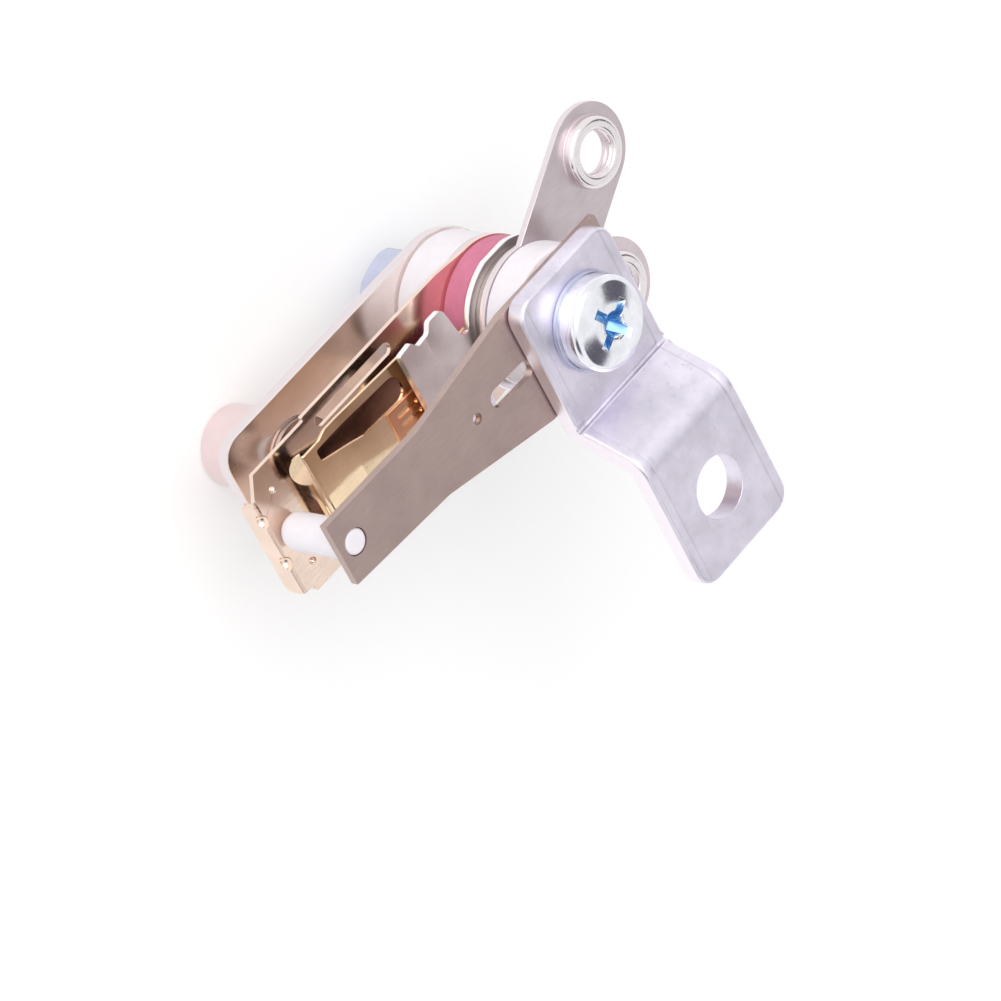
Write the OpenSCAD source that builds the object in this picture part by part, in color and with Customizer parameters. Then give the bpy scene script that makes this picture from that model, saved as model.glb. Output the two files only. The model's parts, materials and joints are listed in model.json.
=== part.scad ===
// Adjustable bimetal thermostat for a heating appliance.
// Ceramic rings and sheet-metal leaves are clamped in a stack by one screw. An offset foot brings heat to the
// bimetal strip, whose tip pushes a ceramic pin against the carrier arm and parts the contacts.
// Origin: centre of the foot's hole, on its mounting face. +X runs along the leaves to their free ends,
// +Y from the stack to the foot, and +Z out of the mounting face.

/* [Ceramic stack] */
// Outer diameter of the ceramic rings
ring_d = 13; // [12:0.1:15]
// Height of the front ring, under the bimetal strip
front_ring_t = 3.6; // [2.5:0.1:6]
// Height of the middle ring, between the two circuits
middle_ring_t = 2.8; // [2.4:0.1:5]
// Height of the rear ring, on the frame plate
rear_ring_t = 4.7; // [4:0.1:8]
// Edge break of the rings
ring_chamfer = 0.25; // [0.1:0.05:0.5]
// Outer diameter of the insulating sleeve round the screw
sleeve_d = 7; // [6.6:0.1:7.6]
// Height of ceramic left between the sleeve's ends and the outer faces of the stack
sleeve_cover = 1.2; // [0.8:0.1:1.6]

/* [Mounting foot] */
// Thickness of the foot's strip
foot_t = 2; // [1.2:0.1:3]
// Width of the foot
foot_w = 13; // [11:0.1:16]
// Distance from the stack's axis to the mounting hole
foot_reach = 18.4; // [16:0.1:26]
// Length of the foot past the mounting hole
foot_end = 6.9; // [5:0.1:10]
// Length of the foot past the stack's axis, on the far side
foot_tail = 6.3; // [5:0.1:9]
// Step of the foot between its two flats
foot_joggle = 5.9; // [4:0.1:9]
// Distance from the stack's axis to the start of the step
foot_step = 7.8; // [7.4:0.1:8.2]
// Run of the step along the foot
foot_run = 3.1; // [2.5:0.1:3.6]
// Corner radius of the foot
foot_corner = 2; // [0.5:0.1:4]
// Mounting hole diameter
foot_hole_d = 5.8; // [4:0.1:7]

/* [Bimetal strip] */
// Thickness of the bimetal
bimetal_t = 0.8; // [0.5:0.05:1.2]
// Width at the stack
bimetal_root_w = 11.8; // [10:0.1:14]
// Width of the narrow arm
bimetal_tip_w = 7.1; // [5:0.1:9]
// Distance from the stack's axis to where the narrow arm begins
bimetal_taper_end = 19.6; // [16:0.1:24]
// Distance from the push pin to the free end
bimetal_end = 1.9; // [1.8:0.1:3]
// Drop of the free end towards the arm
bimetal_drop = 1.4; // [0.5:0.1:2]

/* [Push pin] */
// Distance from the stack's axis to the push pin
pin_reach = 29.9; // [28:0.1:34]
// Diameter of the pin's body
pin_d = 3.5; // [2.8:0.1:4.5]
// Diameter of the nose that sits in the bimetal
pin_nose_d = 2.4; // [1.6:0.1:2.5]

/* [Terminals] */
// Thickness of the terminals
terminal_t = 0.7; // [0.5:0.05:1.2]
// Width of a lug
lug_w = 9; // [7.5:0.1:11]
// Distance from the stack's axis to the line lug's hole
line_reach = 15.2; // [14:0.1:20]
// Distance from the stack's axis to the load lug's hole
load_reach = 15.6; // [14:0.1:20]
// Angle of the line lug from the stack's rear
line_angle = 30.5; // [28:0.5:45]
// Angle of the load lug from the stack's rear
load_angle = 33; // [28:0.5:45]
// Wall diameter of the tapped hole
lug_hole_d = 4.2; // [3:0.1:4.5]
// Outer diameter of the drawn collar
collar_d = 6.6; // [5.2:0.1:6.8]
// Height of the drawn collar
collar_h = 1; // [0.5:0.1:1.4]

/* [Spring leaves] */
// Thickness of the spacer washer
spacer_t = 0.8; // [0.5:0.05:1.5]
// Diameter of the spacer washer
spacer_d = 12.4; // [9:0.1:12.8]
// Thickness of the leaf holder
holder_t = 0.6; // [0.3:0.05:0.8]
// Distance from the stack's axis to the holder's free edge
holder_reach = 14.3; // [13.8:0.1:15]
// Thickness of the backing leaf
backing_t = 0.2; // [0.1:0.05:0.4]
// Distance from the stack's axis to the ends of the backing leaf's fingers
backing_reach = 17.2; // [15.6:0.1:18]
// Thickness of the contact leaf
leaf_t = 0.3; // [0.2:0.05:0.5]
// Width of the contact leaf
leaf_w = 11.8; // [11:0.1:12.4]
// Distance from the contact leaf's end to the push pin
leaf_gap = 1.5; // [0.6:0.1:2]
// Drop of the contact leaf from the stack to its contact
leaf_drop = 1; // [0.6:0.1:1.2]
// Diameter of the contacts
contact_d = 3; // [2:0.1:4]
// Height of the fixed contact above the carrier arm
fixed_contact_h = 0.9; // [0.7:0.05:1.2]
// Distance from the contacts' axis to the contact leaf's end
contact_inset = 2.6; // [2.4:0.1:4]

/* [Carrier arm] */
// Thickness of the carrier arm
arm_t = 0.5; // [0.4:0.05:0.8]
// Width of the carrier arm
arm_w = 14.1; // [13.6:0.1:15]
// Distance from the push pin to the arm's folded end
arm_end = 1.9; // [1.8:0.1:4]
// Depth of the end flange
arm_flange = 2.3; // [1.5:0.1:3]
// Length of the two narrow slots
slot_len = 10.6; // [6:0.1:11]
// Width of the two narrow slots
slot_w = 1.2; // [0.5:0.1:1.4]
// Width of the rail outside each slot
rail_w = 0.95; // [0.7:0.05:1.2]

/* [Frame plate and adjuster] */
// Thickness of the frame plate
frame_t = 1.2; // [1:0.1:2.5]
// Width of the frame plate past the rear ring, on each side
frame_side = 0.2; // [0.1:0.05:1.5]
// Distance from the spindle to the frame's end
frame_end = 7.3; // [5.5:0.1:9]
// Corner radius of the frame's end
frame_corner = 2.4; // [1:0.1:4]
// Distance from the stack's axis to the spindle
spindle_reach = 21.4; // [19:0.1:23]
// Outer diameter of the bush
bush_d = 7.5; // [6.6:0.1:9]
// Length of the bush behind the frame
bush_len = 8.4; // [6:0.1:10]
// Diameter of the bush's riveted collar
bush_collar_d = 7.5; // [7:0.1:10]
// Spindle diameter
spindle_d = 4; // [3.6:0.1:4.6]

/* [Fasteners] */
// Shank diameter of the clamp screw
screw_d = 5; // [4.6:0.1:5.4]
// Length of the shank past the nut
screw_stub = 1.1; // [0.5:0.1:3]
// Head diameter of the clamp screw
head_d = 8.7; // [7:0.1:8.8]
// Head height of the clamp screw
head_h = 2.6; // [2.4:0.1:3]
// Outer diameter of the washers
washer_d = 9; // [8.9:0.1:10]
// Thickness of the washer under the head
head_washer_t = 0.5; // [0.3:0.05:0.8]
// Thickness of the washer under the nut
nut_washer_t = 1.2; // [0.5:0.1:1.6]
// Thickness of the flattened spring washer
spring_washer_t = 1.3; // [0.8:0.1:1.6]
// Width across the nut's flats
nut_af = 8; // [7.6:0.1:8.6]
// Height of the nut
nut_h = 3.6; // [2.4:0.1:4]

/* [Fits] */
// Radial gap between the screw and its holes
screw_gap = 0.15; // [0.05:0.05:0.3]
// Radial gap between the screw's thread and the nut
thread_gap = 0.03; // [0.02:0.01:0.06]
// Radial gap round the insulating sleeve
sleeve_gap = 0.15; // [0.05:0.05:0.3]
// Radial gap between spindle and bush
spindle_gap = 0.05; // [0.02:0.01:0.09]
// Radial gap round the push pin's nose
nose_gap = 0.05; // [0.05:0.05:0.3]
// Play between the push pin's shoulder and the bimetal
pin_play = 0.15; // [0.1:0.05:0.3]
// Gap between the spindle's tip and the carrier arm
tip_gap = 0.3; // [0.3:0.05:0.6]

/* [Hidden] */
$fn = 64;
bend_steps = 6;
cut = 0.1;
tall = 80;
half_turn = 180;
full_turn = 2 * half_turn;

// Levels of the stack, each the lower face of its layer, counted down from the mounting face
z_foot_front = -foot_joggle;
z_foot = z_foot_front - foot_t;
z_bimetal = z_foot - bimetal_t;
z_front_ring = z_bimetal - front_ring_t;
z_line = z_front_ring - terminal_t;
z_spacer = z_line - spacer_t;
z_holder = z_spacer - holder_t;
z_backing = z_holder - backing_t;
z_leaf = z_backing - leaf_t;
z_middle_ring = z_leaf - middle_ring_t;
z_arm = z_middle_ring - arm_t;
z_load = z_arm - terminal_t;
z_rear_ring = z_load - rear_ring_t;
z_frame = z_rear_ring - frame_t;
z_nut_washer = z_frame - nut_washer_t;
z_spring_washer = z_nut_washer - spring_washer_t;
z_nut = z_spring_washer - nut_h;
z_head = z_foot_front + head_washer_t;

screw_hole_d = screw_d + 2 * screw_gap;
sleeve_hole_d = sleeve_d + 2 * sleeve_gap;
sleeve_seat = z_rear_ring + sleeve_cover;
sleeve_roof = z_bimetal - sleeve_cover;

// Foot
foot_bend_r = 0.8;
groove_r = 0.3;
groove_gap = 0.5;
foot_len = foot_tail + foot_reach + foot_end;

// Bimetal strip
bimetal_tail = 7.2;
bend_gap = 0.6;
taper_gap = 0.2;
tip_narrowing = 0.5;
bimetal_reach = pin_reach + bimetal_end;
bimetal_bend = max(foot_w, ring_d) / 2 + bend_gap;
bimetal_taper_start = foot_w / 2 + taper_gap;
bimetal_end_w = bimetal_tip_w - tip_narrowing;
bimetal_slope = bimetal_drop / (bimetal_reach - bimetal_bend);
vent_w = 1.8;
vent_cover = 0.3;
vent_start = foot_w / 2 - vent_cover;
vent_len = 5.4;
pilot_d = 1;
pilot_gap = 2;
tip_top = z_foot - bimetal_slope * (pin_reach - bimetal_bend);
tip_bottom = tip_top - bimetal_t;

// Push pin
pin_shoulder = tip_bottom - pin_play;
pin_edge = 0.3;

// Terminals
terminal_head_d = ring_d;
collar_wall = (collar_d - lug_hole_d) / 2;
collar_round = min(0.6, collar_wall / 2, collar_h / 2);
collar_lip = min(0.3, collar_wall / 3);
collar_fillet = min(0.35, collar_h / 3);

// Leaf holder
holder_rim = 0.5;
holder_d = ring_d + 2 * holder_rim;
holder_side = 0.35;
holder_w = ring_d + 2 * holder_side;
holder_neck_w = 6.3;
holder_neck_end = 0.7;
holder_slant = 0.6;
holder_tooth = 1.8;
holder_notch = 1.6;
holder_notch_h = 0.9;
holder_round = 0.6;
holder_tip_r = 0.3;
holder_bend = 4.2;
holder_dip = 0.5;
tooth_x = ring_d / 2 + holder_neck_end + holder_slant;
notch_x = tooth_x + holder_tooth + holder_slant;

// Spring leaves
root_d = 11;
leaf_reach = pin_reach - pin_d / 2 - leaf_gap;
contact_reach = leaf_reach - contact_inset;
leaf_fold_gap = 1.9;
leaf_level_gap = 1;
leaf_fold = ring_d / 2 + leaf_fold_gap;
leaf_level = contact_reach - contact_d / 2 - leaf_level_gap;
leaf_slope = leaf_drop / (leaf_level - leaf_fold);
leaf_lean = atan(leaf_slope);
leaf_neck_w = 6.2;
leaf_shoulder = 12.4;
leaf_shoulder_run = 2;
leaf_round = 1;
leaf_lip = 0.8;
leaf_bend_r = 0.3;
ear_max_r = 1.6;
ear_inset = 1.2;
ear_lean = 40;
ear_gap = 0.3;
leaf_end_side = 0.4;
leaf_end_w = leaf_w - 2 * leaf_end_side;
leaf_end_len = 2.4;
leaf_end_run = 1;
leaf_leg_w = 0.9;
window_w = 2.5;
window_tip_w = 1.2;
window_start = 14.3;
window_end_gap = 1.7;
window_taper = 5;
window_head_r = 1.1;
window_tip_r = 0.3;
window_out = leaf_w / 2 - leaf_leg_w;
window_end = leaf_reach - window_end_gap;
backing_w = leaf_w - 2 * (leaf_leg_w + window_w);
finger_count = 5;
finger_gap = 0.5;
finger_len = 2.6;
finger_edge = 0.8;
contact_edge = 0.2;
z_leaf_low = z_leaf - leaf_drop;
ear_r = min(ear_max_r, (z_leaf_low - z_middle_ring - ear_gap) / sin(ear_lean));
backing_fold = leaf_fold + leaf_t * tan(leaf_lean / 2);
moving_contact_h = middle_ring_t - leaf_drop - fixed_contact_h;

// Carrier arm
arm_reach = pin_reach + arm_end;
arm_rim = 0.1;
arm_head_d = ring_d + 2 * arm_rim;
arm_corner_run = 1.3;
arm_corner_side = 2.3;
arm_round = 0.15;
arm_step = 0.4;
arm_step_gap = 1;
arm_end_w = arm_w - 2 * arm_step;
arm_neck_w = arm_head_d;
arm_shoulder = 4;
arm_bend_r = 0.1;
arm_edge_r = 0.25;
flange_near_gap = 2.7;
flange_far_gap = 0.7;
flange_near = arm_end_w / 2 - flange_near_gap;
flange_far = arm_end_w / 2 - flange_far_gap;
flange_corner = 0.6;
slot_start = 11.7;
arm_step_x = slot_start + slot_len + arm_step_gap;
crease_r = 0.2;
dart_r = 0.75;
dart_pitch = 4.8;
dart_out = 0.1;
dart_drop = 0.2;
pip_d = 0.7;
pip_pitch = 8.2;
pip_back = 0.5;

// Adjuster
frame_w = ring_d + 2 * frame_side;
frame_reach = spindle_reach + frame_end;
bush_shoulder = 0.6;
bush_spigot_d = bush_d - 2 * bush_shoulder;
bush_collar_h = 0.5;
bush_collar_edge = 0.15;
bush_chamfer = 0.3;
bush_bore_d = spindle_d + 2 * spindle_gap;
spindle_recess = 0.6;
spindle_bottom = z_frame - bush_len + spindle_recess;
tip_d = 3;
tip_h = 2.2;
tip_stem_d = 1.6;
tip_stem_h = 1;
spindle_top = z_arm - tip_gap - tip_h;
driver_slot_w = 0.9;
driver_slot_h = 1;

// Fasteners
head_edge = 0.8;
head_rim = 2.1;
recess_turn = 30;
recess_w = 0.9;
recess_reach = 2.6;
recess_foot = 0.8;
recess_h = 1.6;
recess_core_d = 2.5;
recess_core_foot = 1.1;
recess_core_h = 1.8;
spring_washer_d = 8.6;
spring_washer_slit = 0.7;
slit_lean = 30;
nut_bevel = 0.15;
nut_turn = 15.5;
nut_corner_r = nut_af / 2 / cos(30);

// Vector of length one along v
function unit(v) = v / norm(v);

// Left-hand normal of a direction in the plane
function left_of(d) = [-d.y, d.x];

// Points that round the corner p, between its neighbours a and b, with radius r
function corner(a, p, b, r) =
    r <= 0 ? [p] :
    let (
        to_a = unit(a - p),
        to_b = unit(b - p),
        half = acos(to_a * to_b) / 2,
        centre = p + unit(to_a + to_b) * r / sin(half),
        first = p + to_a * r / tan(half) - centre,
        last = p + to_b * r / tan(half) - centre,
        start = atan2(first.y, first.x),
        sweep = (atan2(last.y, last.x) - start + full_turn + half_turn) % full_turn - half_turn
    )
    [for (i = [0 : bend_steps]) centre + r * [cos(start + sweep * i / bend_steps),
        sin(start + sweep * i / bend_steps)]];

// Closed outline from points [x, y, radius]
function rounded(pts) = [
    for (i = [0 : len(pts) - 1])
        let (
            a = pts[(i + len(pts) - 1) % len(pts)],
            p = pts[i],
            b = pts[(i + 1) % len(pts)]
        )
        each corner([a.x, a.y], [p.x, p.y], [b.x, b.y], p.z)
];

// Outline that is the same on both sides of the X axis, from the points of its upper half
function both_sides(half) = rounded(concat(
    [for (p = half) [p.x, -p.y, p.z]],
    [for (i = [len(half) - 1 : -1 : 0]) half[i]]
));

// Profile of a bent strip: path is its lower face, t its thickness, r_in the inner bend radius
function ribbon(path, t, r_in) =
    let (
        last = len(path) - 1,
        dirs = [for (i = [0 : last - 1]) unit(path[i + 1] - path[i])],
        turns = [for (i = [1 : last - 1]) cross(dirs[i - 1], dirs[i])],
        upper = [for (i = [0 : last])
            let (
                n1 = left_of(dirs[max(i - 1, 0)]),
                n2 = left_of(dirs[min(i, last - 1)])
            )
            path[i] + t * (n1 + n2) / (1 + n1 * n2)],
        lower_r = [for (s = turns) s > 0 ? r_in + t : r_in],
        upper_r = [for (s = turns) s > 0 ? r_in : r_in + t]
    )
    rounded(concat(
        [for (i = [0 : last]) [path[i].x, path[i].y, i == 0 || i == last ? 0 : lower_r[i - 1]]],
        [for (i = [last : -1 : 0]) [upper[i].x, upper[i].y, i == 0 || i == last ? 0 : upper_r[i - 1]]]
    ));

// Places a piece whose own axis is the stack's
module on_stack(x = 0, z = 0) translate([x, -foot_reach, z]) children();

// Solid from a profile in X and Z, as wide as w along Y
module along_y(profile, w) rotate([90, 0, 0]) linear_extrude(w, center = true) polygon(profile);

// Solid from a profile in Y and Z, as wide as w along X
module along_x(profile, w) rotate([90, 0, 90]) linear_extrude(w, center = true) polygon(profile);

// Straight hole through everything
module through(d) cylinder(d = d, h = tall, center = true);

// Upright cutter or blank of an outline, through everything
module outline_prism() linear_extrude(tall, center = true) children();

// Flat ring
module ring(outer, inner, t) difference() {
    cylinder(d = outer, h = t);
    through(inner);
}

// Ceramic ring with broken edges
module ceramic_ring(t, bore) rotate_extrude() polygon([
    [bore / 2, 0],
    [ring_d / 2 - ring_chamfer, 0],
    [ring_d / 2, ring_chamfer],
    [ring_d / 2, t - ring_chamfer],
    [ring_d / 2 - ring_chamfer, t],
    [bore / 2, t]
]);

// Silver rivet head, its worn face at z = 0 and its body upwards
module contact_button(h) rotate_extrude() polygon([
    [0, 0],
    [contact_d / 2 - contact_edge, 0],
    [contact_d / 2, contact_edge],
    [contact_d / 2, h],
    [0, h]
]);

// Long hole between two points on a line along X
module slot_cut(x1, x2, y, w) {
    translate([(x1 + x2) / 2, y, 0]) cube([x2 - x1 - w, w, tall], center = true);
    for (x = [x1 + w / 2, x2 - w / 2]) translate([x, y, 0]) through(w);
}

// Cutter that rounds a lower corner at x = y, of a plate that lies towards side
module corner_cut(y, r, side) translate([y + side * r / 2, r / 2, 0]) difference() {
    cube([r + cut, r + cut, 4 * r], center = true);
    translate([side * r / 2, r / 2, 0]) through(2 * r);
}

// Terminal: ring head, straight lug with round end, and a drawn collar with a soft rim round its tapped hole
module terminal(angle, reach) rotate(180 + angle) difference() {
    union() {
        linear_extrude(terminal_t) {
            circle(d = terminal_head_d);
            translate([0, -lug_w / 2]) square([reach, lug_w]);
            translate([reach, 0]) circle(d = lug_w);
        }
        translate([reach, 0, 0]) rotate_extrude() polygon(rounded([
            [lug_hole_d / 2 - cut, 0, 0],
            [collar_d / 2 + collar_fillet + cut, 0, 0],
            [collar_d / 2 + collar_fillet + cut, terminal_t - cut, 0],
            [collar_d / 2, terminal_t - cut, collar_fillet],
            [collar_d / 2, terminal_t + collar_h, collar_round],
            [lug_hole_d / 2 - cut, terminal_t + collar_h, collar_lip + cut]
        ]));
    }
    through(sleeve_hole_d);
    translate([reach, 0, 0]) through(lug_hole_d);
}

// Joggled strip with the mounting hole and a coined line at the foot of its step
module mounting_foot() color("lightgray") difference() {
    intersection() {
        translate([0, -foot_reach, 0]) along_x(ribbon([
            [-foot_tail, z_foot],
            [foot_step + foot_bend_r, z_foot],
            [foot_step + foot_bend_r + foot_run, -foot_t],
            [foot_reach + foot_end, -foot_t]
        ], foot_t, foot_bend_r), foot_w);
        translate([0, foot_end - foot_len / 2, 0]) outline_prism() polygon(rounded([
            for (s = [[-1, -1], [1, -1], [1, 1], [-1, 1]])
                [s.x * foot_w / 2, s.y * foot_len / 2, foot_corner]
        ]));
    }
    through(foot_hole_d);
    on_stack() through(screw_hole_d);
    on_stack(0, z_foot_front) translate([0, foot_step - groove_gap, 0])
        rotate([0, 90, 0]) through(2 * groove_r);
}

// Pan head with a cross recess, and a plain shank as long as the stack
module clamp_screw() color("gainsboro") on_stack() {
    translate([0, 0, z_nut - screw_stub]) cylinder(d = screw_d, h = z_head - z_nut + screw_stub);
    translate([0, 0, z_head]) difference() {
        rotate_extrude() intersection() {
            polygon(rounded([
                [0, 0, 0],
                [head_d / 2, 0, 0],
                [head_d / 2, head_rim, head_edge],
                [head_d / 4, head_h, head_d / 2],
                [0, head_h, 0]
            ]));
            square([head_d, head_h]);
        }
        for (turn = [0, 90]) rotate(recess_turn + turn) translate([0, 0, head_h]) along_y([
            [-recess_reach, cut],
            [recess_reach, cut],
            [recess_foot, -recess_h],
            [-recess_foot, -recess_h]
        ], recess_w);
        translate([0, 0, head_h - recess_core_h])
            cylinder(d1 = recess_core_foot, d2 = recess_core_d, h = recess_core_h + cut);
    }
}

module head_washer() color("silver") on_stack(0, z_foot_front) ring(washer_d, screw_hole_d, head_washer_t);

module nut_washer() color("silver") on_stack(0, z_nut_washer) ring(washer_d, screw_hole_d, nut_washer_t);

// Split washer, pressed flat
module spring_washer() color("gray") on_stack(0, z_spring_washer) difference() {
    ring(spring_washer_d, screw_hole_d, spring_washer_t);
    translate([spring_washer_d / 2, 0, 0]) rotate([slit_lean, 0, 0])
        cube([spring_washer_d, spring_washer_slit, tall], center = true);
}

// Hexagon nut with bevelled corners
module clamp_nut() color("lightsteelblue") on_stack(0, z_nut) rotate(nut_turn) difference() {
    intersection() {
        cylinder(r = nut_corner_r, h = nut_h, $fn = 6);
        rotate_extrude() polygon([
            [0, 0],
            [nut_af / 2, 0],
            [nut_af / 2 + 2 * nut_bevel, nut_bevel],
            [nut_af / 2 + 2 * nut_bevel, nut_h - nut_bevel],
            [nut_af / 2, nut_h],
            [0, nut_h]
        ]);
    }
    through(screw_d + 2 * thread_gap);
}

// Strip that tapers to a narrow arm and leans towards the carrier arm
module bimetal_strip() color("rosybrown") on_stack() difference() {
    intersection() {
        along_y(ribbon([
            [-bimetal_tail, z_bimetal],
            [bimetal_bend, z_bimetal],
            [bimetal_reach, z_bimetal - bimetal_drop]
        ], bimetal_t, foot_bend_r), bimetal_root_w);
        outline_prism() polygon(both_sides([
            [-bimetal_tail, bimetal_root_w / 2, 0],
            [bimetal_taper_start, bimetal_root_w / 2, foot_corner],
            [bimetal_taper_end, bimetal_tip_w / 2, foot_corner],
            [bimetal_reach, bimetal_end_w / 2, 0]
        ]));
    }
    through(screw_hole_d);
    slot_cut(vent_start, vent_start + vent_len, 0, vent_w);
    translate([vent_start + vent_len + pilot_gap, 0, 0]) through(pilot_d);
    translate([pin_reach, 0, 0]) through(pin_nose_d + 2 * nose_gap);
}

// Ceramic pin: nose in the bimetal's tip hole, shoulder under it, round end on the carrier arm
module push_pin() color("white") on_stack(pin_reach) rotate_extrude() polygon(rounded([
    [0, z_middle_ring, 0],
    [pin_d / 2, z_middle_ring, pin_d / 2 - pin_edge],
    [pin_d / 2, pin_shoulder, pin_edge],
    [pin_nose_d / 2, pin_shoulder, 0],
    [pin_nose_d / 2, tip_top, pin_edge],
    [0, tip_top, 0]
]));

module front_ring() color("white") on_stack() difference() {
    translate([0, 0, z_front_ring]) ceramic_ring(front_ring_t, screw_hole_d);
    translate([0, 0, sleeve_roof - tall]) cylinder(d = sleeve_hole_d, h = tall);
}

module middle_ring() color("palevioletred") on_stack(0, z_middle_ring) ceramic_ring(middle_ring_t, sleeve_hole_d);

module rear_ring() color("white") on_stack() difference() {
    translate([0, 0, z_rear_ring]) ceramic_ring(rear_ring_t, screw_hole_d);
    translate([0, 0, sleeve_seat]) cylinder(d = sleeve_hole_d, h = tall);
}

module insulating_sleeve() color("ivory") on_stack(0, sleeve_seat)
    ring(sleeve_d, screw_hole_d, sleeve_roof - sleeve_seat - sleeve_gap);

module line_terminal() color("silver") on_stack(0, z_line) terminal(line_angle, line_reach);

module load_terminal() color("silver") on_stack(0, z_load) terminal(-load_angle, load_reach);

module spacer_washer() color("dimgray") on_stack(0, z_spacer) ring(spacer_d, sleeve_hole_d, spacer_t);

// Short plate with a round head, a narrow neck and wavy sides
module leaf_holder() color("silver") on_stack() difference() {
    intersection() {
        along_y(ribbon([
            [-holder_d, z_holder],
            [ring_d / 2 + holder_bend, z_holder],
            [holder_reach, z_holder + holder_dip]
        ], holder_t, holder_t), holder_w);
        outline_prism() {
            circle(d = holder_d);
            polygon(both_sides([
                [0, holder_neck_w / 2, 0],
                [tooth_x - holder_slant, holder_neck_w / 2, holder_round],
                [tooth_x, holder_w / 2, holder_round],
                [tooth_x + holder_tooth, holder_w / 2, holder_round],
                [notch_x, holder_w / 2 - holder_notch_h, holder_round],
                [notch_x + holder_notch, holder_w / 2 - holder_notch_h, holder_round],
                [notch_x + holder_notch + holder_slant, holder_w / 2, holder_round],
                [holder_reach, holder_w / 2, holder_tip_r]
            ]));
        }
    }
    through(sleeve_hole_d);
}

// Thin leaf that lies on the contact leaf, slit into fingers behind a plain edge
module backing_leaf() color("peru") on_stack() difference() {
    intersection() {
        along_y(ribbon([
            [-root_d, z_backing],
            [backing_fold, z_backing],
            [backing_reach, z_backing - leaf_slope * (backing_reach - backing_fold)]
        ], backing_t, leaf_bend_r + leaf_t), root_d);
        outline_prism() {
            circle(d = root_d);
            translate([0, -backing_w / 2]) square([backing_reach, backing_w]);
        }
    }
    through(sleeve_hole_d);
    for (i = [1 : finger_count - 1])
        slot_cut(backing_reach - finger_edge - finger_len, backing_reach - finger_edge,
            (i / finger_count - 0.5) * backing_w, finger_gap);
}

// Spring leaf with two long windows, sloping down to the contacts, with a lip and two round, drooping ears at its end
module contact_leaf() color("wheat") on_stack() {
    difference() {
        intersection() {
            along_y(ribbon([
                [-root_d, z_leaf],
                [leaf_fold, z_leaf],
                [leaf_level, z_leaf_low],
                [leaf_reach - leaf_t, z_leaf_low],
                [leaf_reach - leaf_t, z_leaf_low - leaf_lip]
            ], leaf_t, leaf_bend_r), leaf_w);
            outline_prism() {
                circle(d = root_d);
                polygon(both_sides([
                    [0, leaf_neck_w / 2, 0],
                    [leaf_shoulder - leaf_shoulder_run, leaf_neck_w / 2, leaf_round],
                    [leaf_shoulder, leaf_w / 2, leaf_round],
                    [leaf_reach - leaf_end_len - leaf_end_run, leaf_w / 2, leaf_round],
                    [leaf_reach - leaf_end_len, leaf_end_w / 2, leaf_round],
                    [leaf_reach, leaf_end_w / 2, 0]
                ]));
            }
        }
        through(sleeve_hole_d);
        for (side = [-1, 1]) outline_prism() polygon(rounded([
            [window_start, side * window_out, window_head_r],
            [window_end, side * window_out, window_tip_r],
            [window_end, side * (window_out - window_tip_w), window_tip_r],
            [window_end - window_taper, side * (window_out - window_w), leaf_round],
            [window_start, side * (window_out - window_w), window_head_r]
        ]));
    }
    for (side = [-1, 1]) translate([leaf_reach - leaf_t, side * (leaf_end_w / 2 - ear_inset), z_leaf_low])
        rotate([0, ear_lean, 0]) intersection() {
            cylinder(r = ear_r, h = leaf_t);
            translate([tall / 2, 0, 0]) cube(tall, center = true);
        }
}

module moving_contact() color("whitesmoke")
    on_stack(contact_reach, z_middle_ring + fixed_contact_h) contact_button(moving_contact_h);

module fixed_contact() color("whitesmoke")
    on_stack(contact_reach, z_middle_ring + fixed_contact_h) mirror([0, 0, 1]) contact_button(fixed_contact_h);

// Spheres on the arm's fold, for its two pressed darts
module darts(r) for (side = [-1, 1])
    translate([arm_reach + dart_out, side * dart_pitch / 2, z_middle_ring - dart_drop]) sphere(r);

// Long plate with a round head, two slots, a flange with darts across its end and two pips beside the push pin
module carrier_arm() color("tan") on_stack() {
    difference() {
        union() {
            translate([0, 0, z_arm]) linear_extrude(arm_t) {
                circle(d = arm_head_d);
                polygon(both_sides([
                    [0, arm_neck_w / 2, 0],
                    [arm_shoulder, arm_w / 2, 0],
                    [arm_step_x, arm_w / 2, arm_round],
                    [arm_step_x, arm_end_w / 2, arm_round],
                    [arm_reach - arm_bend_r - arm_corner_run, arm_end_w / 2, arm_round],
                    [arm_reach - arm_bend_r, arm_end_w / 2 - arm_corner_side, arm_round]
                ]));
            }
            translate([0, (flange_far - flange_near) / 2, 0]) along_y(rounded([
                [pin_reach, z_arm, 0],
                [arm_reach - arm_t, z_arm, arm_bend_r],
                [arm_reach - arm_t, z_middle_ring - arm_flange, 0],
                [arm_reach, z_middle_ring - arm_flange, 0],
                [arm_reach, z_middle_ring, arm_edge_r],
                [pin_reach, z_middle_ring, 0]
            ]), flange_near + flange_far);
            intersection() {
                darts(dart_r + arm_t);
                translate([arm_reach - (arm_t + tall) / 2, 0, z_middle_ring - (arm_t + tall) / 2])
                    cube(tall, center = true);
            }
        }
        through(sleeve_hole_d);
        translate([arm_reach - arm_bend_r, 0, z_middle_ring]) rotate([90, 0, 0]) through(2 * crease_r);
        darts(dart_r);
        for (side = [-1, 1])
            slot_cut(slot_start, slot_start + slot_len, side * (arm_w / 2 - rail_w - slot_w / 2), slot_w);
        translate([arm_reach, 0, z_middle_ring - arm_flange]) rotate([90, 0, 90])
            for (y = [-flange_near, flange_far]) corner_cut(y, flange_corner, sign(-y));
    }
    for (side = [-1, 1]) translate([pin_reach - pip_back, side * pip_pitch / 2, z_middle_ring])
        intersection() {
            sphere(d = pip_d);
            cylinder(d = pip_d, h = pip_d);
        }
}

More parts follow.
